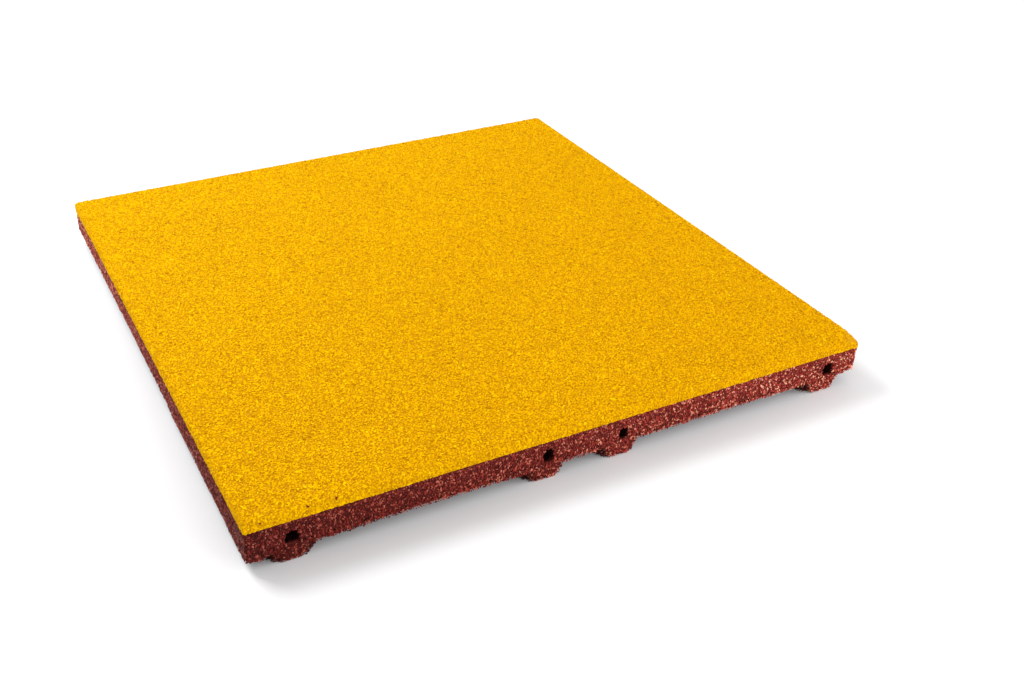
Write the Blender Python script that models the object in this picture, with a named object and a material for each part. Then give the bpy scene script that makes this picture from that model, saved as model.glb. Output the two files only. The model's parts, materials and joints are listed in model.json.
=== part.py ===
"""A square shock-absorbing rubber tile: a thin yellow wear layer bonded to a thicker red-brown base of rubber crumb.

The base stands on round studs, and four pin sockets open in its front face and four in its back face. Each socket
has a wide stud below it, which the tile's side face cuts off. Metres, +Z up. The origin is on the floor under the
tile's middle, X runs along the front face and Y points from the front face to the back one.
"""

import math

import bmesh
import bpy
from mathutils import Matrix, Vector

SIDE = 0.500
HEIGHT = 0.040
WEAR_THICKNESS = 0.008
LAYER_GAP = 0.0003
STUD_HEIGHT = 0.012
CORNER_RADIUS = 0.003
TOP_EDGE_RADIUS = 0.0025

STUDS_PER_ROW = 8
STUD_PITCH = SIDE / STUDS_PER_ROW
STUD_FLOOR_RADIUS = 0.009
STUD_SLAB_RADIUS = 0.011

SOCKET_XS = (-3.5 * STUD_PITCH, -0.5 * STUD_PITCH, 0.5 * STUD_PITCH, 3.5 * STUD_PITCH)
SOCKET_RADIUS = 0.005
SOCKET_HEIGHT = 0.020
SOCKET_DEPTH = 0.050
SOCKET_STUD_INSET = 0.0205
SOCKET_STUD_FLOOR_RADIUS = 0.021
SOCKET_STUD_SLAB_RADIUS = 0.024

CORNER_STEPS = 4
TOP_EDGE_STEPS = 4
STUD_SIDES = 16
SOCKET_STUD_SIDES = 40
SOCKET_SIDES = 16

# How far a helper reaches past the face that it joins or cuts
OVERLAP = 0.004

WEAR_YELLOW = (0.80, 0.39, 0.006)
BASE_RED = (0.13, 0.028, 0.020)


def clear_scene():
    for obj in list(bpy.data.objects):
        bpy.data.objects.remove(obj, do_unlink=True)


def rubber(name, colour, roughness):
    material = bpy.data.materials.new(name)
    material.use_nodes = True
    shader = material.node_tree.nodes["Principled BSDF"]
    shader.inputs["Base Color"].default_value = (*colour, 1.0)
    shader.inputs["Roughness"].default_value = roughness
    shader.inputs["Metallic"].default_value = 0.0
    material.diffuse_color = (*colour, 1.0)
    return material


def object_from(shape, name):
    """Turns a bmesh into an object in the scene, with its faces pointing out."""
    bmesh.ops.recalc_face_normals(shape, faces=shape.faces)
    mesh = bpy.data.meshes.new(name)
    shape.to_mesh(mesh)
    shape.free()
    obj = bpy.data.objects.new(name, mesh)
    bpy.context.scene.collection.objects.link(obj)
    return obj


def square_ring(shape, half, z):
    """The edges of a square outline with round corners, at height z."""
    middle = half - CORNER_RADIUS
    ring = []
    for quarter in range(4):
        centre = Matrix.Rotation(math.radians(90 * quarter), 3, "Z") @ Vector((middle, middle, z))
        for step in range(CORNER_STEPS + 1):
            angle = math.radians(90 * (quarter + step / CORNER_STEPS))
            reach = Vector((math.cos(angle), math.sin(angle), 0)) * CORNER_RADIUS
            ring.append(shape.verts.new(centre + reach))
    return [shape.edges.new((ring[i - 1], ring[i])) for i in range(len(ring))]


def lofted_square(name, levels):
    """A closed solid through square outlines, given as (half side, height) from the bottom up."""
    shape = bmesh.new()
    rings = [square_ring(shape, half, z) for half, z in levels]
    for lower, upper in zip(rings, rings[1:]):
        bmesh.ops.bridge_loops(shape, edges=lower + upper)
    for end in (rings[0], rings[-1]):
        bmesh.ops.contextual_create(shape, geom=end)
    return object_from(shape, name)


def add_cone(shape, x, y, floor_radius, slab_radius, sides):
    """A stud that widens upwards from the floor and runs on into the slab with the same taper."""
    widening = (slab_radius - floor_radius) / STUD_HEIGHT
    top = STUD_HEIGHT + OVERLAP
    bmesh.ops.create_cone(
        shape,
        cap_ends=True,
        segments=sides,
        radius1=floor_radius,
        radius2=floor_radius + widening * top,
        depth=top,
        matrix=Matrix.Translation((x, y, top / 2)),
    )


def studs():
    """All studs of the underside: small ones on a square grid, wide ones below the pin sockets."""
    shape = bmesh.new()
    first = -(STUDS_PER_ROW - 1) / 2
    rows = [(first + i) * STUD_PITCH for i in range(STUDS_PER_ROW)]
    for y in rows:
        for x in rows:
            if y in (rows[0], rows[-1]) and x in SOCKET_XS:
                continue
            add_cone(shape, x, y, STUD_FLOOR_RADIUS, STUD_SLAB_RADIUS, STUD_SIDES)
    for side in (-1, 1):
        for x in SOCKET_XS:
            y = side * (SIDE / 2 - SOCKET_STUD_INSET)
            add_cone(
                shape, x, y, SOCKET_STUD_FLOOR_RADIUS, SOCKET_STUD_SLAB_RADIUS, SOCKET_STUD_SIDES
            )
    return object_from(shape, "studs")


def sockets():
    """The bores for the connecting pins, level, open in the front and the back face."""
    shape = bmesh.new()
    length = SOCKET_DEPTH + OVERLAP
    lying = Matrix.Rotation(math.radians(90), 4, "X")
    for side in (-1, 1):
        y = side * (SIDE / 2 + OVERLAP - length / 2)
        for x in SOCKET_XS:
            bmesh.ops.create_cone(
                shape,
                cap_ends=True,
                segments=SOCKET_SIDES,
                radius1=SOCKET_RADIUS,
                radius2=SOCKET_RADIUS,
                depth=length,
                matrix=Matrix.Translation((x, y, SOCKET_HEIGHT)) @ lying,
            )
    return object_from(shape, "sockets")


def combine(obj, helper, operation):
    """Adds a live Boolean with a helper, which is then left out of the render."""
    modifier = obj.modifiers.new(helper.name, "BOOLEAN")
    modifier.operation = operation
    modifier.solver = "EXACT"
    modifier.object = helper
    helper.hide_render = True
    helper.display_type = "WIRE"


def base_layer():
    """Slab and studs are joined oversize, then trimmed to the tile's outline, so that their side faces are one."""
    half = SIDE / 2
    top = HEIGHT - WEAR_THICKNESS - LAYER_GAP
    wide = half + OVERLAP
    base = lofted_square("base_layer", [(wide, STUD_HEIGHT), (wide, top)])
    outline = lofted_square("outline", [(half, -OVERLAP), (half, HEIGHT)])
    combine(base, studs(), "UNION")
    combine(base, outline, "INTERSECT")
    combine(base, sockets(), "DIFFERENCE")
    base.data.materials.append(rubber("red_brown_rubber", BASE_RED, 0.85))
    return base


def wear_layer():
    """A sheet whose top edge is a quarter round."""
    half = SIDE / 2
    bottom = HEIGHT - WEAR_THICKNESS
    levels = [(half, bottom)]
    for step in range(TOP_EDGE_STEPS + 1):
        angle = math.radians(90 * step / TOP_EDGE_STEPS)
        inset = TOP_EDGE_RADIUS * (1 - math.cos(angle))
        drop = TOP_EDGE_RADIUS * (1 - math.sin(angle))
        levels.append((half - inset, HEIGHT - drop))
    wear = lofted_square("wear_layer", levels)
    wear.data.shade_smooth()
    wear.data.set_sharp_from_angle(angle=math.radians(30))
    wear.data.materials.append(rubber("yellow_rubber", WEAR_YELLOW, 0.8))
    return wear


clear_scene()
base_layer()
wear_layer()
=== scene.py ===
# %% [markdown]
# # A rubber floor tile, granule by granule
#
# The tile is 500 mm square and 40 mm high. A thin yellow wear layer is bonded to a thicker red-brown base,
# which stands on round studs. Both layers are rubber granules of 2 to 4 mm, pressed in a mould and held
# together by a binder.
#
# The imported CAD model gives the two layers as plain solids. This lesson builds what they are made of: a
# closed core of each layer, and more than a hundred thousand granules bedded on the two. It starts by
# loading the frame, which gives the measures that everything below is built from, in metres.

# %% Load the frame
import json
import math

import bmesh
import bpy
import numpy as np
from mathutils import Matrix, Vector

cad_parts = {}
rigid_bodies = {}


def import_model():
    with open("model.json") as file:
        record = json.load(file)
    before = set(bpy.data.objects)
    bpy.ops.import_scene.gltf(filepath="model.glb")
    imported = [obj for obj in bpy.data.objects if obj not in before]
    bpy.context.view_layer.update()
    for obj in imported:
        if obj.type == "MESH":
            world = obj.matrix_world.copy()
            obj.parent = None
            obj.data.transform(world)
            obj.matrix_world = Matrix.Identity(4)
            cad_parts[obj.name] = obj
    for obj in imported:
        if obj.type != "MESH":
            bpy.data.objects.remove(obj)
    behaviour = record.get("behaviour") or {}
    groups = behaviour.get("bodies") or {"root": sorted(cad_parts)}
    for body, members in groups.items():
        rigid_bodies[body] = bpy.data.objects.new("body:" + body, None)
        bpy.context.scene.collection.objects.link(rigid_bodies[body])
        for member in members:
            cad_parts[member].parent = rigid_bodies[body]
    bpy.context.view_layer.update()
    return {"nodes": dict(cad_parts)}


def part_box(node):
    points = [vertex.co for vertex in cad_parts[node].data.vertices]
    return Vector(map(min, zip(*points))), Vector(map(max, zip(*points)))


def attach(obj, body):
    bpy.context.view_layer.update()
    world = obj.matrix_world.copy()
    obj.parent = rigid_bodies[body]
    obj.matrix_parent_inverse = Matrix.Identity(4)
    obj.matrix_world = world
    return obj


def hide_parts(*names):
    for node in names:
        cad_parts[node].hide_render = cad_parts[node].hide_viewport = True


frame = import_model()

wear_low, wear_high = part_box("wear_layer")
base_low, base_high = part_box("base_layer")
HALF_SIDE = wear_high.x
TOP = wear_high.z
BORDER = wear_low.z
print("half side", HALF_SIDE, "top", TOP, "border between the layers", BORDER)

# %% [markdown]
# ## The camera
#
# The tile's corners and edges in the photograph give the camera's place, turn and focal length. The picture
# was cropped off centre. Turning the camera would bend the perspective, so the lens is shifted sideways a
# little instead. Depth of field stays off, because the whole tile is sharp.

# %% Camera
CAMERA_PLACE = (-0.38557, -0.79440, 0.52796)
CAMERA_TURN = (57.334, -0.665, -26.446)
FOCAL_LENGTH_MM = 41.41
SIDEWAYS_SHIFT = 0.0625

camera_lens = bpy.data.cameras.new("photo_camera")
camera_lens.sensor_width = 36.0
camera_lens.lens = FOCAL_LENGTH_MM
camera_lens.shift_x = SIDEWAYS_SHIFT
camera_lens.clip_start = 0.01
camera = bpy.data.objects.new("photo_camera", camera_lens)
camera.location = CAMERA_PLACE
camera.rotation_euler = [math.radians(angle) for angle in CAMERA_TURN]
bpy.context.scene.collection.objects.link(camera)
bpy.context.scene.camera = camera
print("camera", [round(part, 3) for part in camera.location])

# %% [markdown]
# ## Node trees written as Python
#
# A material is a tree of nodes, and so is a Geometry Nodes modifier. Wiring them by hand takes many lines,
# so two small classes help. Tree.node adds any node, sets it up and fills its sockets. Value wraps an
# output, so that 1 - value * 0.5 adds the Math nodes for itself. Colours are mixed with Tree.blend, because
# a Math node would turn them grey.


# %% Node helpers
class Value:
    """One output of a node. Arithmetic on it adds Math nodes."""

    def __init__(self, tree, socket):
        self.tree, self.socket = tree, socket

    def output(self, name):
        """Another output of the same node."""
        return Value(self.tree, self.socket.node.outputs[name])

    def __add__(self, other):
        return self.tree.maths("ADD", self, other)

    def __sub__(self, other):
        return self.tree.maths("SUBTRACT", self, other)

    def __rsub__(self, other):
        return self.tree.maths("SUBTRACT", other, self)

    def __mul__(self, other):
        return self.tree.maths("MULTIPLY", self, other)

    def __truediv__(self, other):
        return self.tree.maths("DIVIDE", self, other)

    def __rtruediv__(self, other):
        return self.tree.maths("DIVIDE", other, self)

    def __abs__(self):
        return self.tree.maths("ABSOLUTE", self)

    __radd__ = __add__
    __rmul__ = __mul__

    def rise(self, start, end):
        """0 up to start, 1 from end on, and a straight rise between them."""
        sockets = {"Value": self, "From Min": start, "From Max": end}
        return self.tree.node("ShaderNodeMapRange", {"clamp": True}, sockets)


class Tree:
    """A node tree under construction."""

    def __init__(self, nodes):
        self.nodes = nodes

    def node(self, kind, settings=None, sockets=None, output=0):
        """Adds a node, with its settings first and then its sockets, and returns one of its outputs."""
        made = self.nodes.nodes.new(kind)
        for name, setting in (settings or {}).items():
            setattr(made, name, setting)
        for name, value in (sockets or {}).items():
            if isinstance(value, Value):
                self.nodes.links.new(value.socket, made.inputs[name])
            else:
                made.inputs[name].default_value = value
        return Value(self, made.outputs[output]) if len(made.outputs) else None

    def maths(self, operation, *values):
        return self.node("ShaderNodeMath", {"operation": operation}, dict(enumerate(values)))

    def blend(self, share, first, second):
        """The first colour, with a share of the second. 6 and 7 are the Mix node's colour sockets."""
        first, second = ((*c, 1.0) if isinstance(c, tuple) else c for c in (first, second))
        return self.node("ShaderNodeMix", {"data_type": "RGBA"}, {0: share, 6: first, 7: second}, 2)


def finish(name, describe, roughness, shine):
    """A material. describe(tree) returns the values that vary over it, by the shader's socket."""
    material = bpy.data.materials.new(name)
    material.use_nodes = True
    shader = material.node_tree.nodes["Principled BSDF"]
    shader.inputs["Roughness"].default_value = roughness
    shader.inputs["Specular IOR Level"].default_value = shine
    for socket, value in describe(Tree(material.node_tree)).items():
        material.node_tree.links.new(value.socket, shader.inputs[socket])
    print("finish", name, "with", len(material.node_tree.nodes), "nodes")
    return material


# %% [markdown]
# ## What every granule's finish starts from
#
# Each granule comes from coloured rubber, and no two are quite alike. A noise texture could vary the
# colour, but its patches would run across the granules. So the scatter further down stores a random number
# from 0 to 1 on each granule, under the name tone, and the finishes read it with an Attribute node. That
# gives every granule one even colour. A coarse noise adds the slow change from one handful to the next, and
# a fine one roughens the cut sides.

# %% Tone, place and noises
GRAIN_SCALE = 1400.0
GRAIN_STRENGTH = 0.5
GRAIN_DEPTH = 0.0004


def place_of(tree):
    """The place on the tile as a vector, and its X, Y and Z."""
    place = tree.node("ShaderNodeTexCoord", output="Object")
    x = tree.node("ShaderNodeSeparateXYZ", None, {"Vector": place}, "X")
    return place, x, x.output("Y"), x.output("Z")


def tone_of(tree):
    """The granule's own random number."""
    return tree.node("ShaderNodeAttribute", {"attribute_name": "tone"}, output="Fac")


def noise(tree, place, scale, detail):
    return tree.node("ShaderNodeTexNoise", None, {"Vector": place, "Scale": scale, "Detail": detail})


def bump(tree, height, strength, depth):
    return tree.node("ShaderNodeBump", None, {"Strength": strength, "Distance": depth, "Height": height})


def grain_of(tree, place):
    """The fine grain of a cut side, and the surface normal that it gives."""
    grain = noise(tree, place, GRAIN_SCALE, 2.0)
    return grain, bump(tree, grain, GRAIN_STRENGTH, GRAIN_DEPTH)


print("one wave of the grain is about", round(1000 / GRAIN_SCALE, 1), "mm long")

# %% [markdown]
# ## Yellow granules
#
# The wear layer is an even yellow, made of darker and lighter granules. Its colour is painted brighter
# towards the back left and duller towards the front, as painted light and shade, and towards the front left
# corner its granules differ more. The sum and the difference of X and Y give those slow changes. One granule
# in forty is darker than the rest, and one in thirty paler. Three red ones strayed into the front edge. They
# carry a tone above 1, which no random number reaches.

# %% Yellow granules
SHADED_YELLOWS = ((0.49, 0.231, 0.0), (0.74, 0.388, 0.0))
LIT_YELLOWS = ((0.56, 0.285, 0.0), (0.79, 0.462, 0.0))
DARK_YELLOW = (0.42, 0.180, 0.0)
PALE_YELLOW = (0.74, 0.48, 0.002)
STRAY_RED = (0.14, 0.018, 0.010)
STRAY_TONE = 2.0
YELLOW_CLOUD_SCALE = 14.0
# X + Y where the granules differ most and least, and Y - X where they are painted shaded and painted lit
CALM_RISE, LIT_RISE = (-0.45, 0.05), (-0.5, 0.5)
# The tones at which the dark granules end, and at which the pale and the red ones begin
DARK_TONES, PALE_TONES, RED_TONES = (0.025, 0.030), (0.96, 0.97), (1.4, 1.6)


def yellow_granules(tree):
    tone = tone_of(tree)
    place, x, y, _ = place_of(tree)
    cloud = noise(tree, place, YELLOW_CLOUD_SCALE, 3.0)
    grain, normal = grain_of(tree, place)
    spread = 0.85 - (x + y).rise(*CALM_RISE) * 0.5
    mixed = (tone - 0.5) * spread + cloud * 0.2 + 0.4
    # Painted light and shade: the yellow is lighter towards the back left and duller towards the front right
    shaded_yellow, lit_yellow = tree.blend(mixed, *SHADED_YELLOWS), tree.blend(mixed, *LIT_YELLOWS)
    colour = tree.blend((y - x).rise(*LIT_RISE), shaded_yellow, lit_yellow)
    colour = tree.blend(1 - tone.rise(*DARK_TONES), colour, DARK_YELLOW)
    colour = tree.blend(tone.rise(*PALE_TONES) * 0.6, colour, PALE_YELLOW)
    colour = tree.blend(tone.rise(*RED_TONES), colour, STRAY_RED)
    return {"Base Color": colour, "Roughness": grain * 0.2 + 0.55, "Normal": normal}


yellow_finish = finish("yellow_granules", yellow_granules, roughness=0.6, shine=0.01)

# %% [markdown]
# ## Red-brown granules
#
# The base is painted dark at its front left corner and brighter towards the right and the back: painted shade
# and painted light. Many granules are painted pale pink, as painted highlights that stand in for glints, and
# more of them where the painted light is brighter. In the sockets and below the slab the rubber is painted
# almost black, a painted shade darker than the lamps alone give, so the finish measures how far a point lies
# behind the nearest side face.

# %% Red-brown granules
SHADED_REDS = ((0.022, 0.003, 0.003), (0.235, 0.021, 0.014))
LIT_REDS = ((0.06, 0.006, 0.005), (0.64, 0.070, 0.045))
GLINT_PINK = (0.76, 0.38, 0.24)
SHADE_BLACK = (0.012, 0.003, 0.003)
RED_CLOUD_SCALE = 30.0
# How far behind a side face the painted shade starts and is full, and how much sooner it does so on the studs
SHADE_START, SHADE_FULL = 0.0015, 0.003
SOONER_ON_STUDS = 0.0007
# The heights over which the studs give way to the slab, and the underside to the sockets
STUDS_END, SOCKETS_BEGIN = (0.009, 0.012), (0.012, 0.015)
UNDERSIDE_SHADE, SOCKET_SHADE = 0.8, 0.9
# The tones over which a granule gets a pale painted highlight, and how pale it gets at the shaded corner
GLINT_TONES = (0.68, 0.97)
GLINT_AT_CORNER = 0.16


def painted_light(x, y):
    """The share of painted light: 0 at the shaded front left corner and 1 far from it."""
    return (x + y).rise(-0.5, -0.05)


def painted_shade_behind_sides(tree, x, y, z):
    """The share of painted shade: 0 on the side faces, and that of the underside or of the sockets behind
    them.
    """
    reach = tree.maths("MAXIMUM", abs(x), abs(y))
    at_studs = 1 - z.rise(*STUDS_END)
    behind = (HALF_SIDE - reach + at_studs * SOONER_ON_STUDS).rise(SHADE_START, SHADE_FULL)
    return behind * (z.rise(*SOCKETS_BEGIN) * (SOCKET_SHADE - UNDERSIDE_SHADE) + UNDERSIDE_SHADE)


def red_granules(tree):
    tone = tone_of(tree)
    place, x, y, z = place_of(tree)
    cloud = noise(tree, place, RED_CLOUD_SCALE, 3.0)
    grain, normal = grain_of(tree, place)
    lit_share = painted_light(x, y)
    mixed = tone * 0.8 + cloud * 0.2
    # Painted light and shade: dark at the front left corner, brighter towards the right and the back
    colour = tree.blend(lit_share, tree.blend(mixed, *SHADED_REDS), tree.blend(mixed, *LIT_REDS))
    # Painted highlights: pale pink granules in place of glints, more of them where the painted light is
    # brighter
    glint_share = tone.rise(*GLINT_TONES) * (lit_share * lit_share * (1 - GLINT_AT_CORNER) + GLINT_AT_CORNER)
    colour = tree.blend(glint_share, colour, GLINT_PINK)
    # Painted shade: almost black in the sockets and below the slab
    colour = tree.blend(painted_shade_behind_sides(tree, x, y, z), colour, SHADE_BLACK)
    return {"Base Color": colour, "Roughness": grain * 0.25 + 0.35, "Normal": normal}


red_finish = finish("red_granules", red_granules, roughness=0.45, shine=0.09)

# %% [markdown]
# ## The finish of the cores
#
# A core stands for the granules that lie deep in a layer, seen between the outer ones. A Voronoi texture
# gives it cells of a granule's size, light in their middle and dark where they meet. The base's core
# carries the same painted light and shade as the red granules on it.

# %% Core finishes
CELL_SCALE = 420.0
CELL_STRENGTH = 0.8
CELL_DEPTH = 0.0008


def cells(tree, place, middle, seam):
    """The colour of a core and its surface normal."""
    grain = tree.node("ShaderNodeTexVoronoi", None, {"Vector": place, "Scale": CELL_SCALE}, "Distance")
    return tree.blend(grain, middle, seam), bump(tree, grain, CELL_STRENGTH, CELL_DEPTH)


def yellow_binder(tree):
    colour, normal = cells(tree, place_of(tree)[0], (0.56, 0.275, 0.0), (0.38, 0.165, 0.0))
    return {"Base Color": colour, "Normal": normal}


def red_binder(tree):
    place, x, y, z = place_of(tree)
    colour, normal = cells(tree, place, (0.17, 0.020, 0.014), (0.06, 0.006, 0.005))
    # Painted shade: the core is darker towards the front left corner
    colour = tree.blend((1 - painted_light(x, y)) * 0.6, colour, SHADE_BLACK)
    # Painted shade: the core is almost black in the sockets and below the slab
    colour = tree.blend(painted_shade_behind_sides(tree, x, y, z), colour, SHADE_BLACK)
    return {"Base Color": colour, "Normal": normal}


yellow_core_finish = finish("yellow_binder", yellow_binder, roughness=0.8, shine=0.05)
red_core_finish = finish("red_binder", red_binder, roughness=0.8, shine=0.05)

# %% [markdown]
# ## The cores
#
# Between the outer granules one looks into the layer, at granules that lie deeper. Filling the whole layer
# with granules would take millions. A closed core a little below the surface stands for them, and the outer
# granules are bedded on it. It is the CAD solid with each face moved inwards, so that it keeps every stud
# and socket: each corner goes to where its moved faces meet, which a least squares solution finds. The two
# faces where the layers are bonded stay where they are.

# %% Cores
WEAR_DEPTH = 0.0006
BASE_DEPTH = 0.0009
MERGE_DISTANCE = 2e-6
SLIVER_AREA = 1e-11
NEAR_BORDER = 0.001
UP = Vector((0, 0, 1))
# Normals with a larger cosine than these count as one, and as looking along a direction
SAME_WAY, LOOKS_ALONG = 0.995, 0.95
# How firmly a corner's faces must fix a direction, as a share of the firmest, for it to move that way
LOOSE_SHARE = 0.05


def link(name, mesh):
    made = bpy.data.objects.new(name, mesh)
    bpy.context.scene.collection.objects.link(made)
    return made


def distinct(normals):
    """The directions among these, without those that nearly repeat one before."""
    kept = []
    for normal in normals:
        if all(normal.dot(other) < SAME_WAY for other in kept):
            kept.append(normal)
    return kept


def inward_move(vert, bonded, depth):
    """Where a corner goes when the faces round it sink to this depth, apart from the bonded one."""
    normals = distinct([face.normal for face in vert.link_faces if face.calc_area() > SLIVER_AREA])
    at_border = abs(vert.co.z - BORDER) < NEAR_BORDER
    depths = [0.0 if at_border and normal.dot(bonded) > LOOKS_ALONG else -depth for normal in normals]
    return Vector(np.linalg.lstsq(np.array(normals), np.array(depths), rcond=LOOSE_SHARE)[0])


def core_of(node, name, bonded, depth, material):
    """A closed shell this deep inside a CAD node. The faces that look along bonded stay where they are."""
    shape = bmesh.new()
    shape.from_mesh(frame["nodes"][node].data)
    bmesh.ops.remove_doubles(shape, verts=shape.verts, dist=MERGE_DISTANCE)
    bmesh.ops.dissolve_degenerate(shape, edges=shape.edges, dist=MERGE_DISTANCE)
    shape.normal_update()
    moves = {vert: inward_move(vert, bonded, depth) for vert in shape.verts}
    for vert, move in moves.items():
        vert.co += move
    mesh = bpy.data.meshes.new(name)
    shape.to_mesh(mesh)
    shape.free()
    mesh.materials.clear()
    mesh.materials.append(material)
    print(name, len(mesh.polygons), "faces")
    return link(name, mesh)


wear_core = core_of("wear_layer", "wear_core", -UP, WEAR_DEPTH, yellow_core_finish)
base_core = core_of("base_layer", "base_core", UP, BASE_DEPTH, red_core_finish)

# %% [markdown]
# ## The mouths of the front sockets
#
# The CAD model's bores are round and evenly placed. In the photograph the front mouths are taller than wide
# and lie 2 to 4 mm off. Cutting new bores isn't needed: when the corners of a rim move, the bore's walls
# follow, and its inner end stays. Only the flat face round the rims has to be filled anew.

# %% Socket mouths
SOCKET_HEIGHT = 0.020
RIM_REACH = 0.0065
FLAT = 1e-5
# By each bore's X: its mouth's move to the right and up, and what its width and height are multiplied by
MOUTHS = {
    -0.21875: (0.0004, -0.0024, 0.92, 1.12),
    -0.03125: (0.0019, -0.0008, 0.80, 1.15),
    0.03125: (0.0012, -0.0019, 0.80, 0.98),
    0.21875: (0.0029, -0.0022, 0.92, 1.30),
}


def move_mouths(core):
    """Moves the front rims and fills the front face anew, because its old triangles would fold over."""
    shape = bmesh.new()
    shape.from_mesh(core.data)
    front = -HALF_SIDE + BASE_DEPTH
    old_faces = [face for face in shape.faces if all(abs(vert.co.y - front) < FLAT for vert in face.verts)]
    old_numbers = {face.index for face in old_faces}
    outline = [
        edge for edge in shape.edges if sum(face.index in old_numbers for face in edge.link_faces) == 1
    ]
    for x, (right, up, width, height) in MOUTHS.items():
        for vert in shape.verts:
            across, above = vert.co.x - x, vert.co.z - SOCKET_HEIGHT
            if abs(vert.co.y - front) < FLAT and math.hypot(across, above) < RIM_REACH:
                vert.co.x = x + right + across * width
                vert.co.z = SOCKET_HEIGHT + up + above * height
    bmesh.ops.delete(shape, geom=old_faces, context="FACES")
    filled = bmesh.ops.triangle_fill(shape, edges=outline, use_beauty=True, normal=(0, -1, 0))["geom"]
    new_faces = [part for part in filled if isinstance(part, bmesh.types.BMFace)]
    for face in new_faces:
        if face.normal.y > 0:
            face.normal_flip()
    print(core.name, "has", len(new_faces), "faces in front, in place of", len(old_numbers))
    shape.to_mesh(core.data)
    shape.free()


move_mouths(base_core)

# %% [markdown]
# ## The tip and the worn corner
#
# The mould gives all four corners the same small radius. On this tile the front left one ends in a sharp
# tip, and the front right one is worn round at the top. Both are made with a function that moves an array
# of points, so that the same function moves a core now and its granules later. The wear core is cut round
# its worn corner first, because it has no corners there that could sag.

# %% Tip and worn corner
TIP_REACH = 0.005
TIP_MOVE = 0.0012
WORN_REACH = 0.020
WORN_SAG = 0.0036
WORN_CUTS = (0.25, 0.5, 1.0)


def numbers(items, name, kind, count):
    """One attribute of many mesh elements, as one row of numbers."""
    found = np.empty(len(items) * count, kind)
    items.foreach_get(name, found)
    return found


def sharpen(places):
    """Draws what is near the front left corner out into the tip."""
    offset = places[..., :2] + HALF_SIDE
    away = np.hypot(offset[..., :1], offset[..., 1:])
    places[..., :2] -= TIP_MOVE * math.sqrt(0.5) * (1 - away / TIP_REACH).clip(0) ** 2
    places[..., :2] = places[..., :2].clip(-HALF_SIDE, HALF_SIDE)


def sag(places):
    """Lowers what is near the worn corner, and most at the top."""
    away = np.hypot(places[..., 0] - HALF_SIDE, places[..., 1] + HALF_SIDE)
    height = ((places[..., 2] - BORDER) / (TOP - BORDER)).clip(0, 1)
    places[..., 2] -= WORN_SAG * (1 - away / WORN_REACH).clip(0) ** 2 * height


def sharpen_core(core):
    places = numbers(core.data.vertices, "co", np.float32, 3).reshape(-1, 3)
    sharpen(places)
    core.data.vertices.foreach_set("co", places.ravel())


def wear_corner(core):
    shape = bmesh.new()
    shape.from_mesh(core.data)
    for reach in WORN_CUTS:
        cut = HALF_SIDE - WORN_REACH * reach
        for middle, normal in (((cut, 0, 0), (1, 0, 0)), ((0, -cut, 0), (0, 1, 0))):
            geometry = shape.verts[:] + shape.edges[:] + shape.faces[:]
            bmesh.ops.bisect_plane(shape, geom=geometry, plane_co=middle, plane_no=normal)
    for vert in shape.verts:
        place = np.array(vert.co)
        sag(place)
        vert.co = place
    shape.to_mesh(core.data)
    shape.free()


sharpen_core(wear_core)
sharpen_core(base_core)
wear_corner(wear_core)
print("wear_core with its worn corner", len(wear_core.data.polygons), "faces")

# %% [markdown]
# ## The flash
#
# Flash is rubber that crept out between the parts of the mould. Here it hangs below the slab's lower edge
# as a ragged lip, thickest along the front half of the left side and round the front left corner, and thin
# along the front side. Each lip is a thin wall of its own, sunk into the core, because the granules can
# then be bedded on it like on the rest. Its depth is given at the places where it changes, because it
# follows no rule.

# %% Flash
SLAB_BOTTOM = 0.012
FLASH_INSIDE = 0.0030
FLASH_SUNK = 0.002
LEFT_FLASH = {
    -0.2480: 0.0034,
    -0.2430: 0.0052,
    -0.2050: 0.0052,
    -0.1850: 0.0038,
    -0.1500: 0.0035,
    -0.1250: 0.0022,
    -0.1000: 0.0024,
    -0.0780: 0.0040,
    -0.0640: 0.0004,
}
FRONT_FLASH = {
    -0.2480: 0.0028,
    -0.2440: 0.0034,
    -0.2410: 0.0048,
    -0.2385: 0.0050,
    -0.2370: 0.0016,
    -0.2000: 0.0018,
    -0.1750: 0.0021,
    -0.1650: 0.0010,
    -0.1200: 0.0008,
    -0.0700: 0.0009,
    -0.0600: 0.0015,
    -0.0480: 0.0016,
    -0.0200: 0.0008,
    0.0200: 0.0004,
    0.2400: 0.0004,
}


def add_flash(core, depths, in_front):
    """A thin wall below the left side, or the front one. depths says how far it hangs at each place."""
    shape = bmesh.new()
    shape.from_mesh(core.data)
    outside, inside, top = -HALF_SIDE + BASE_DEPTH, -HALF_SIDE + FLASH_INSIDE, SLAB_BOTTOM + FLASH_SUNK
    rings = []
    for along, depth in depths.items():
        low = SLAB_BOTTOM - depth
        ring = ((outside, top), (outside, low), (inside, low), (inside, top))
        places = [(along, across, z) if in_front else (across, along, z) for across, z in ring]
        rings.append([shape.verts.new(place) for place in places])
    made = [shape.faces.new(rings[0]), shape.faces.new(reversed(rings[-1]))]
    for near, far in zip(rings, rings[1:]):
        made += [shape.faces.new((near[i - 1], far[i - 1], far[i], near[i])) for i in range(4)]
    bmesh.ops.recalc_face_normals(shape, faces=made)
    shape.to_mesh(core.data)
    shape.free()


add_flash(base_core, LEFT_FLASH, in_front=False)
add_flash(base_core, FRONT_FLASH, in_front=True)
print("base_core with its flash", len(base_core.data.polygons), "faces")

# %% [markdown]
# ## A handful of granules
#
# Granules are cut from rubber in a mill, so they are chips with flat sides and sharp corners. A convex hull
# round a few points makes such a chip: 6 points give 8 triangles, which is little enough to repeat it
# thousands of times. The points start evenly spread on a ball, by the golden angle, and each is then
# knocked out of place. The wear layer's chips are round, and those of the base's sides are long and thin.

# %% Granules
CHIP_COUNT = 14
CORNERS = 6
CHIP_LENGTHS = (0.5, 0.65)
CHIP_REACHES = (0.85, 1.1)
KNOCK = 0.20
GOLDEN_ANGLE = math.pi * (3 - math.sqrt(5))


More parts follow.
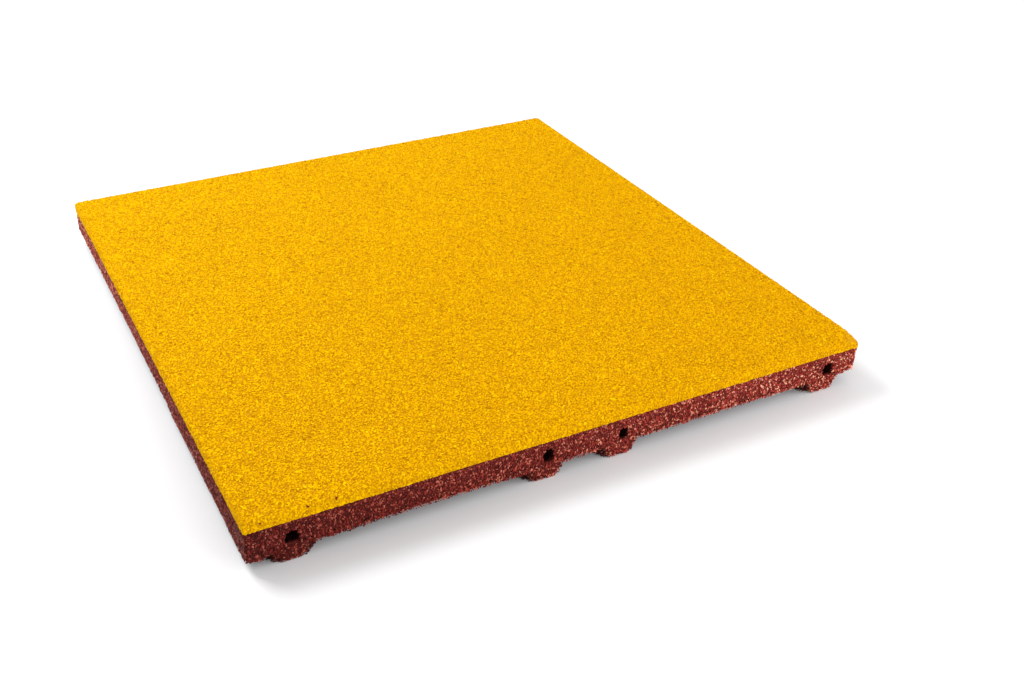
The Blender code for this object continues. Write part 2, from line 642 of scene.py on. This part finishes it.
def chip(draw, name, stretch):
    """One closed chip, about 1 m long. The scatter scales it down."""
    shape = bmesh.new()
    for corner in range(CORNERS):
        height = 1 - (2 * corner + 1) / CORNERS
        flat = math.sqrt(1 - height * height)
        angle = GOLDEN_ANGLE * corner
        spot = np.array([math.cos(angle) * flat, math.sin(angle) * flat, height])
        spot += draw.normal(0, KNOCK, 3)
        spot *= stretch * draw.uniform(*CHIP_REACHES) / np.linalg.norm(spot)
        shape.verts.new(spot)
    hull = bmesh.ops.convex_hull(shape, input=shape.verts)
    bmesh.ops.delete(shape, geom=list(set(hull["geom_interior"] + hull["geom_unused"])), context="VERTS")
    bmesh.ops.recalc_face_normals(shape, faces=shape.faces)
    mesh = bpy.data.meshes.new(name)
    shape.to_mesh(mesh)
    shape.free()
    return bpy.data.objects.new(name, mesh)


def handful_of_chips(name, seed, thinnest, thickest):
    """A collection of chips. Their width and height lie between thinnest and thickest."""
    draw = np.random.default_rng(seed)
    handful = bpy.data.collections.new(name)
    bpy.context.scene.collection.children.link(handful)
    for number in range(CHIP_COUNT):
        stretch = np.array([draw.uniform(*CHIP_LENGTHS), *draw.uniform(thinnest, thickest, 2)])
        handful.objects.link(chip(draw, f"{name}_{number:02d}", stretch))
    return handful


round_chips = handful_of_chips("round_chips", seed=11, thinnest=0.36, thickest=0.62)
long_chips = handful_of_chips("long_chips", seed=13, thinnest=0.22, thickest=0.44)
plain_chips = handful_of_chips("plain_chips", seed=12, thinnest=0.32, thickest=0.62)

# %% [markdown]
# ## The scatter
#
# One Geometry Nodes tree beds the granules. Poisson sampling keeps a distance between them, as in a pressed
# layer, where plain random points would leave bald patches. A slow noise lifts and sinks them, because the
# mould never fills evenly, and each one gets its own chip, turn, size and tone. The tree ends by making the
# instances real.

# %% Scatter tree
INPUTS = {
    "Surface": "NodeSocketGeometry",
    "Chips": "NodeSocketCollection",
    "Finish": "NodeSocketMaterial",
    "Spacing": "NodeSocketFloat",
    "Smallest": "NodeSocketFloat",
    "Largest": "NodeSocketFloat",
    "Lift": "NodeSocketFloat",
    "Jitter": "NodeSocketFloat",
    "Wave": "NodeSocketFloat",
    "Seed": "NodeSocketInt",
}
# This many times the points that fit at the spacing, so that few gaps are left
CROWDING = 3.0
WAVE_SCALE = 42.0
MANY = 1000
# The first of the two inputs, and the output, that the node for random values uses for each kind
RANDOM_SOCKETS = {"FLOAT_VECTOR": (0, 0), "FLOAT": (2, 1), "INT": (4, 2)}


def random_value(tree, kind, low, high, seed):
    """A random number or vector for each point. kind is the node's data type."""
    first, output = RANDOM_SOCKETS[kind]
    sockets = {first: low, first + 1: high, "Seed": seed}
    return tree.node("FunctionNodeRandomValue", {"data_type": kind}, sockets, output)


def bedded_points(tree, surface):
    """Points on the surface, lifted and sunk."""
    spacing, seed = surface.output("Spacing"), surface.output("Seed")
    density = CROWDING / (spacing * spacing)
    sockets = {"Mesh": surface, "Distance Min": spacing, "Density Max": density, "Seed": seed}
    settings = {"distribute_method": "POISSON"}
    points = tree.node("GeometryNodeDistributePointsOnFaces", settings, sockets, "Points")
    wave = tree.node("ShaderNodeTexNoise", None, {"Scale": WAVE_SCALE, "Detail": 2.0})
    jitter = random_value(tree, "FLOAT", -0.5, 0.5, seed + 1) * surface.output("Jitter")
    lift = surface.output("Lift") + jitter + (wave - 0.5) * surface.output("Wave")
    scaled = {0: points.output("Normal"), "Scale": lift}
    offset = tree.node("ShaderNodeVectorMath", {"operation": "SCALE"}, scaled)
    return tree.node("GeometryNodeSetPosition", None, {"Geometry": points, "Offset": offset})


def granules_at(tree, points, surface):
    """A chip of its own size, turn and tone at each point."""
    seed = surface.output("Seed")
    chip_sockets = {"Collection": surface.output("Chips"), "Separate Children": True, "Reset Children": True}
    full_turn = (math.tau, math.tau, math.tau)
    sockets = {
        "Points": points,
        "Instance": tree.node("GeometryNodeCollectionInfo", None, chip_sockets),
        "Pick Instance": True,
        "Instance Index": random_value(tree, "INT", 0, MANY, seed + 3),
        "Rotation": random_value(tree, "FLOAT_VECTOR", (0.0, 0.0, 0.0), full_turn, seed + 2),
        "Scale": random_value(tree, "FLOAT", surface.output("Smallest"), surface.output("Largest"), seed + 4),
    }
    granules = tree.node("GeometryNodeInstanceOnPoints", None, sockets)
    tone = random_value(tree, "FLOAT", 0.0, 1.0, seed + 5)
    settings = {"data_type": "FLOAT", "domain": "INSTANCE"}
    stored = {"Geometry": granules, "Name": "tone", "Value": tone}
    return tree.node("GeometryNodeStoreNamedAttribute", settings, stored)


def scatter_tree():
    group = bpy.data.node_groups.new("bed_granules", "GeometryNodeTree")
    for name, kind in INPUTS.items():
        group.interface.new_socket(name, in_out="INPUT", socket_type=kind)
    group.interface.new_socket("Granules", in_out="OUTPUT", socket_type="NodeSocketGeometry")
    tree = Tree(group)
    surface = tree.node("NodeGroupInput", output="Surface")
    toned = granules_at(tree, bedded_points(tree, surface), surface)
    real = tree.node("GeometryNodeRealizeInstances", None, {"Geometry": toned})
    sockets = {"Geometry": real, "Material": surface.output("Finish")}
    finished = tree.node("GeometryNodeSetMaterial", None, sockets)
    tree.node("NodeGroupOutput", None, {"Granules": finished})
    print("scatter tree with", len(group.nodes), "nodes")
    return group


bed_granules = scatter_tree()

# %% [markdown]
# ## Granules as arrays
#
# In the mould, granules that stick out are pushed back until they lie flat against its walls. Cutting them
# off would leave open chips, and a modifier for it would be slow. With all corners in one NumPy array, one
# line moves them all. The mould is a box with round edges, and rubber gives way softly: the closer a corner
# comes to the wall, the more it is held back.


# %% Arrays
class Granules:
    """Many granules as arrays: the places of each one's corners, its faces and its tone."""

    def __init__(self, places, faces, tones, material):
        self.places, self.faces, self.tones, self.material = places, faces, tones, material

    def arrays(self):
        return self.places, self.faces, self.tones

    def part(self, chosen):
        """Some of the granules."""
        return Granules(*(array[chosen] for array in self.arrays()), self.material)

    def joined(self, other):
        """These granules and others, all in the material of these."""
        both = [np.concatenate(pair) for pair in zip(self.arrays(), other.arrays())]
        return Granules(*both, self.material)

    def nearest(self, place):
        """The number of the granule nearest to a place."""
        return np.linalg.norm(self.places.mean(1) - place, axis=1).argmin()

    def press(self, low, high, radius, give):
        """Squeezes what comes near or past a box with round edges until it lies inside."""
        nearest = self.places.clip(np.array(low) + radius, np.array(high) - radius)
        reach = self.places - nearest
        distance = np.linalg.norm(reach, axis=-1, keepdims=True)
        past = distance - radius + give
        squeezed = radius - give * np.exp(-past.clip(0) / give)
        self.places = nearest + reach * np.where(past > 0, squeezed / distance.clip(1e-9), 1.0)


# A wall this far off presses nothing
FAR = 1.0
SIDE_RADIUS = 0.003
SIDE_GIVE = 0.0005


def press_sides(granules):
    """Presses granules of the base against the mould's four side walls."""
    low, high = (-HALF_SIDE, -HALF_SIDE, -FAR), (HALF_SIDE, HALF_SIDE, FAR)
    granules.press(low, high, SIDE_RADIUS, SIDE_GIVE)


def press_levels(granules, low, high, give):
    """Keeps granules between two heights."""
    granules.press((-FAR, -FAR, low), (FAR, FAR, high), give, give)


print("the mould is", round(2000 * HALF_SIDE), "mm wide inside, with a corner radius of", SIDE_RADIUS, "m")

# %% [markdown]
# ## Bedding granules on a part of a core
#
# Each kind of granule covers its own part of a core. A patch is a copy of some of the core's faces, chosen
# by where they are and which way they look. It carries the modifier, whose result becomes a plain mesh and
# then arrays, and is deleted afterwards.


# %% Bed
def patch(core, wanted):
    """A copy of the core's faces for which wanted(middle, normal) is true."""
    shape = bmesh.new()
    shape.from_mesh(core.data)
    unwanted = [face for face in shape.faces if not wanted(face.calc_center_median(), face.normal)]
    bmesh.ops.delete(shape, geom=unwanted, context="FACES")
    mesh = bpy.data.meshes.new("patch")
    shape.to_mesh(mesh)
    shape.free()
    return link("patch", mesh)


def scattered(surface, values):
    """The scatter's result on a patch, as a plain mesh. The patch goes, with its modifier."""
    modifier = surface.modifiers.new("bed_granules", "NODES")
    modifier.node_group = bed_granules
    for item in bed_granules.interface.items_tree:
        if item.in_out == "INPUT" and item.name in values:
            modifier[item.identifier] = values[item.name]
    graph = bpy.context.evaluated_depsgraph_get()
    evaluated = surface.evaluated_get(graph)
    mesh = bpy.data.meshes.new_from_object(evaluated, preserve_all_data_layers=True, depsgraph=graph)
    bpy.data.objects.remove(surface)
    return mesh


def bed(core, wanted, **values):
    """Scatters granules over the part of a core that wanted() chooses. values are the tree's inputs."""
    mesh = scattered(patch(core, wanted), values)
    places = numbers(mesh.vertices, "co", np.float32, 3).reshape(-1, CORNERS, 3).astype(float)
    faces = numbers(mesh.loops, "vertex_index", np.int32, 1).reshape(len(places), -1, 3) % CORNERS
    tones = numbers(mesh.attributes["tone"].data, "value", np.float32, 1).reshape(-1, CORNERS)[:, 0]
    bpy.data.meshes.remove(mesh)
    print("bedded", len(places), "granules")
    return Granules(places, faces, tones, values["Finish"])


# %% [markdown]
# ## From arrays back to pieces
#
# A piece is a plain mesh with the tone on its corners. It also gets a map, which shows the tile from above
# with its side faces folded out, so that its finish can be baked later. Unwrapping thousands of loose chips
# would give each its own island. Folding the places out needs no seams at all.

# %% Pieces from arrays
# What lies this close to a side face belongs to it
SIDE_ZONE = 0.0035
MAP_MARGIN = 0.004


def unfold(places):
    """Map coordinates: the tile seen from above, with its side faces folded out."""
    across = places[:, :2]
    reach = np.abs(across)
    drop = TOP - places[:, 2:]
    nearest = reach >= reach.max(1, keepdims=True)
    at_side = nearest & (reach > HALF_SIDE - SIDE_ZONE)
    unfolded = np.where(at_side, np.sign(across) * (HALF_SIDE + drop), across)
    return unfolded / (2 * (HALF_SIDE + TOP + MAP_MARGIN)) + 0.5


def piece_of(granules, name):
    """All these granules as one piece."""
    places, faces, tones = granules.arrays()
    spots = places.reshape(-1, 3)
    shifted = faces + np.arange(len(faces))[:, None, None] * CORNERS
    mesh = bpy.data.meshes.new(name)
    mesh.from_pydata(spots.tolist(), [], shifted.reshape(-1, 3).tolist())
    mesh.attributes.new("tone", "FLOAT", "POINT").data.foreach_set("value", np.repeat(tones, CORNERS))
    folded = unfold(spots)[shifted.ravel()].astype(np.float32)
    mesh.uv_layers.new(name="OFBake").data.foreach_set("uv", folded.ravel())
    mesh.materials.append(granules.material)
    print(name, len(places), "granules,", len(mesh.polygons), "faces")
    return link(name, mesh)


def strips_of(granules, name, count):
    """The granules as several pieces, side by side along X, because one would have too many faces."""
    order = np.argsort(granules.places[:, :, 0].mean(1))
    parts = np.array_split(order, count)
    return [piece_of(granules.part(part), f"{name}_{number}") for number, part in enumerate(parts, 1)]


corners_on_map = unfold(np.array([wear_low, wear_high]))
print("the tile's top covers", corners_on_map.round(3).tolist(), "of its map")

# %% [markdown]
# ## The granules of the wear layer
#
# They cover the core's top and sides, close together and all at one level, because the mould's flat wall
# has made them even. They are then pressed into the layer's quarter-round edge and down to the border with
# the base, and they sag at the worn corner. The three red strays are the granules nearest to where they are
# on the real tile.

# %% Wear layer
TOP_RADIUS = 0.0025
TOP_GIVE = 0.0004
BORDER_GIVE = 0.0003
STRAY_XS = (-0.238, -0.206, -0.187)
STRAY_HEIGHT = 0.0385
LOOKS_DOWN = -0.9


def top_or_side(middle, normal):
    """Whether a face of the wear layer's core is seen. Only the bonded one looks down."""
    return normal.z > LOOKS_DOWN


wear = bed(
    wear_core,
    top_or_side,
    Chips=round_chips,
    Finish=yellow_finish,
    Spacing=0.0013,
    Smallest=0.0022,
    Largest=0.0032,
    Lift=0.0,
    Jitter=0.0008,
    Wave=0.0003,
    Seed=21,
)
wear.press((-HALF_SIDE, -HALF_SIDE, 0), (HALF_SIDE, HALF_SIDE, TOP), TOP_RADIUS, TOP_GIVE)
press_levels(wear, BORDER, FAR, BORDER_GIVE)
sag(wear.places)
for x in STRAY_XS:
    wear.tones[wear.nearest((x, -HALF_SIDE, STRAY_HEIGHT))] = STRAY_TONE

# %% [markdown]
# ## The granules of the base's side faces
#
# They are longer than those of the wear layer and lie less even. Some crumbs hang below the slab's lower
# edge in a ragged fringe, and near the front left corner most of all. New granules would look stuck on, so
# those at the edge are drawn down instead: fully at the edge itself, and less and less above and below it.


# %% Side faces of the base
FRINGE = 0.0009
CORNER_FRINGE = 0.0006
# How much of the fringe falls to a place, by its X + Y and by its height
NEAR_CORNER = {-0.3: 1.0, -0.2: 0.0}
AT_SLAB = {0.004: 0.0, 0.012: 1.0, 0.0135: 1.0, 0.0215: 0.0}
AT_FOOT = {0.003: 1.0, 0.008: 0.0}
LEVEL = 0.999


def share(table, values):
    return np.interp(values, list(table), list(table.values()))


def hang(places):
    """Draws what is near the slab's lower edge down into a fringe."""
    x, y, z = places[..., 0], places[..., 1], places[..., 2]
    near = share(NEAR_CORNER, x + y)
    at_left = x < -HALF_SIDE + SIDE_ZONE
    depth = FRINGE * np.where(at_left, near, 1.0) + CORNER_FRINGE * near
    places[..., 2] -= depth * np.maximum(share(AT_SLAB, z), share(AT_FOOT, z) * near)


def outer_side(middle, normal):
    """Whether a face of the base's core belongs to a side face of the tile."""
    return max(abs(middle.x), abs(middle.y)) > HALF_SIDE - SIDE_ZONE and abs(normal.z) < LEVEL


sides = bed(
    base_core,
    outer_side,
    Chips=long_chips,
    Finish=red_finish,
    Spacing=0.0011,
    Smallest=0.0015,
    Largest=0.0029,
    Lift=0.0004,
    Jitter=0.0010,
    Wave=0.0016,
    Seed=41,
)
hang(sides.places)
press_sides(sides)
press_levels(sides, base_low.z, base_high.z, BORDER_GIVE)

# %% [markdown]
# ## The spill at the back left corner
#
# There yellow granules ran down over the red ones before the tile was pressed. Granules of the base that
# lie above a slope from that corner join the wear layer and take its finish. After that both kinds are
# complete: they are drawn out into the tip and turned into pieces.

# %% Spill and pieces
SPILL_LOW = 0.0245
SPILL_SLOPE = 0.45

middles = sides.places.mean(1)
from_corner = np.hypot(middles[:, 0] + HALF_SIDE, middles[:, 1] - HALF_SIDE)
spilled = middles[:, 2] > SPILL_LOW + SPILL_SLOPE * from_corner
wear = wear.joined(sides.part(spilled))
sides = sides.part(~spilled)
print("spilled", spilled.sum(), "granules")

sharpen(wear.places)
sharpen(sides.places)
wear_granules = strips_of(wear, "wear_granules", 4)
base_side_granules = piece_of(sides, "base_side_granules")

# %% [markdown]
# ## The granules in the pin sockets
#
# The sockets were left open by pins, so their walls are smoother than the side faces. They are narrow and
# dark, so fewer granules are enough. These sink a little into the core, which keeps the bore free.

# %% Sockets
UNDERSIDE_HIGH = 0.0137
SOCKET_HIGH = 0.0262
# Where the faces of the bores lie, across from a bore's middle and along Y from the tile's middle
BORE_REACH = 0.0075
BORE_NEAR, BORE_FAR = 0.19, 0.24
LOOKS_UP = 0.1


def in_socket(middle, normal):
    """Whether a face of the base's core belongs to a bore. Low down, only a bore's floor looks up."""
    near = min(abs(middle.x - x) for x in MOUTHS) < BORE_REACH
    at_depth = BORE_NEAR < abs(middle.y) < BORE_FAR
    return near and at_depth and middle.z < SOCKET_HIGH and (middle.z > UNDERSIDE_HIGH or normal.z > LOOKS_UP)


in_sockets = bed(
    base_core,
    in_socket,
    Chips=plain_chips,
    Finish=red_finish,
    Spacing=0.0020,
    Smallest=0.0018,
    Largest=0.0030,
    Lift=-0.0004,
    Jitter=0.0006,
    Wave=0.0006,
    Seed=61,
)
press_sides(in_sockets)
socket_granules = piece_of(in_sockets, "socket_granules")

# %% [markdown]
# ## The granules of the underside
#
# The slab's underside and the studs are seldom seen, and dark. Larger granules, further apart, are enough
# there. They are pressed to the floor, so that all studs end at one level.

# %% Underside
FLOOR_GIVE = 0.0004


def under_side(middle, normal):
    return not outer_side(middle, normal) and not in_socket(middle, normal) and middle.z < UNDERSIDE_HIGH


below = bed(
    base_core,
    under_side,
    Chips=plain_chips,
    Finish=red_finish,
    Spacing=0.0030,
    Smallest=0.0028,
    Largest=0.0044,
    Lift=0.0000,
    Jitter=0.0010,
    Wave=0.0010,
    Seed=51,
)
press_sides(below)
press_levels(below, base_low.z, base_high.z, FLOOR_GIVE)
base_under_granules = piece_of(below, "base_under_granules")

# %% [markdown]
# ## Clearing away
#
# The chips lie at the origin, a metre long each. They have done their work and must not be rendered.

# %% Clear the chips away
for handful in (round_chips, long_chips, plain_chips):
    for made in list(handful.objects):
        bpy.data.objects.remove(made)
    bpy.data.collections.remove(handful)

# %% [markdown]
# ## The floor
#
# The tile lies on white. The floor is painted grey near the tile, a painted shade that deepens its soft
# shadow, and white further out, where it blends into the white of the picture's edges. It is a stage
# piece, not part of the tile, and lies a hair below it.


# %% Floor
FLOOR_REACH = 6.0
FLOOR_DROP = 0.0002
FLOOR_SHADE_GREYS = ((0.69, 0.69, 0.70), (0.71, 0.71, 0.72))
FLOOR_WHITE = (0.97, 0.97, 0.97)
# How far from the middle the painted grey shade ends and the white begins
GREY_REACH, WHITE_REACH = 0.55, 1.1


def floor_finish(tree):
    place = place_of(tree)[0]
    distance = tree.node("ShaderNodeVectorMath", {"operation": "LENGTH"}, {0: place}, "Value")
    # Painted shade: the floor is grey near the tile and white further out
    grey = tree.blend(noise(tree, place, 3.0, 2.0), *FLOOR_SHADE_GREYS)
    return {"Base Color": tree.blend(distance.rise(GREY_REACH, WHITE_REACH), grey, FLOOR_WHITE)}


corner_signs = ((-1, -1), (1, -1), (1, 1), (-1, 1))
floor_corners = [(x * FLOOR_REACH, y * FLOOR_REACH, -FLOOR_DROP) for x, y in corner_signs]
floor_mesh = bpy.data.meshes.new("floor")
floor_mesh.from_pydata(floor_corners, [], [(0, 1, 2, 3)])
floor_mesh.materials.append(finish("floor_with_painted_shade", floor_finish, roughness=0.8, shine=0.2))
floor = link("floor", floor_mesh)
print("floor", 2 * FLOOR_REACH, "m wide")

# %% [markdown]
# ## The light
#
# The photograph has one large soft light, high behind the tile's left corner, which throws the short shadow
# to the front right. White surroundings fill in the rest. Two weaker lights in front, low down, keep the
# near faces from going black. The view transform is Standard, because the photograph's white is pure white.

# %% Light
# The place, the width and the power in watts of each light
LIGHTS = {
    "back_left_light": ((-0.68, 0.83, 1.28), 0.83, 27.0),
    "right_front_light": ((1.1, -0.75, 0.45), 0.5, 6.5),
    "front_light": ((0.6, -1.6, 0.35), 0.5, 12.0),
}
SURROUNDINGS_STRENGTH = 0.92

for name, (place, size, power) in LIGHTS.items():
    lamp = bpy.data.lights.new(name, "AREA")
    lamp.size = size
    lamp.energy = power
    light = link(name, lamp)
    light.location = place
    light.rotation_euler = Vector(place).to_track_quat("Z", "Y").to_euler()
    print(name, power, "W")

world = bpy.data.worlds.new("white_surroundings")
world.use_nodes = True
background = world.node_tree.nodes["Background"]
background.inputs["Color"].default_value = (1.0, 1.0, 1.0, 1.0)
background.inputs["Strength"].default_value = SURROUNDINGS_STRENGTH
bpy.context.scene.world = world
bpy.context.scene.view_settings.view_transform = "Standard"

# %% [markdown]
# ## Handing over
#
# Each piece rides on the one body of the tile. The cores stand for the CAD solids, which are hidden.
# The granules must not reach past the solids.

# %% Pieces
for piece in (wear_core, *wear_granules):
    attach(piece, "root")
for piece in (base_core, base_side_granules, socket_granules, base_under_granules):
    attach(piece, "root")
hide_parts("wear_layer")
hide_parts("base_layer")
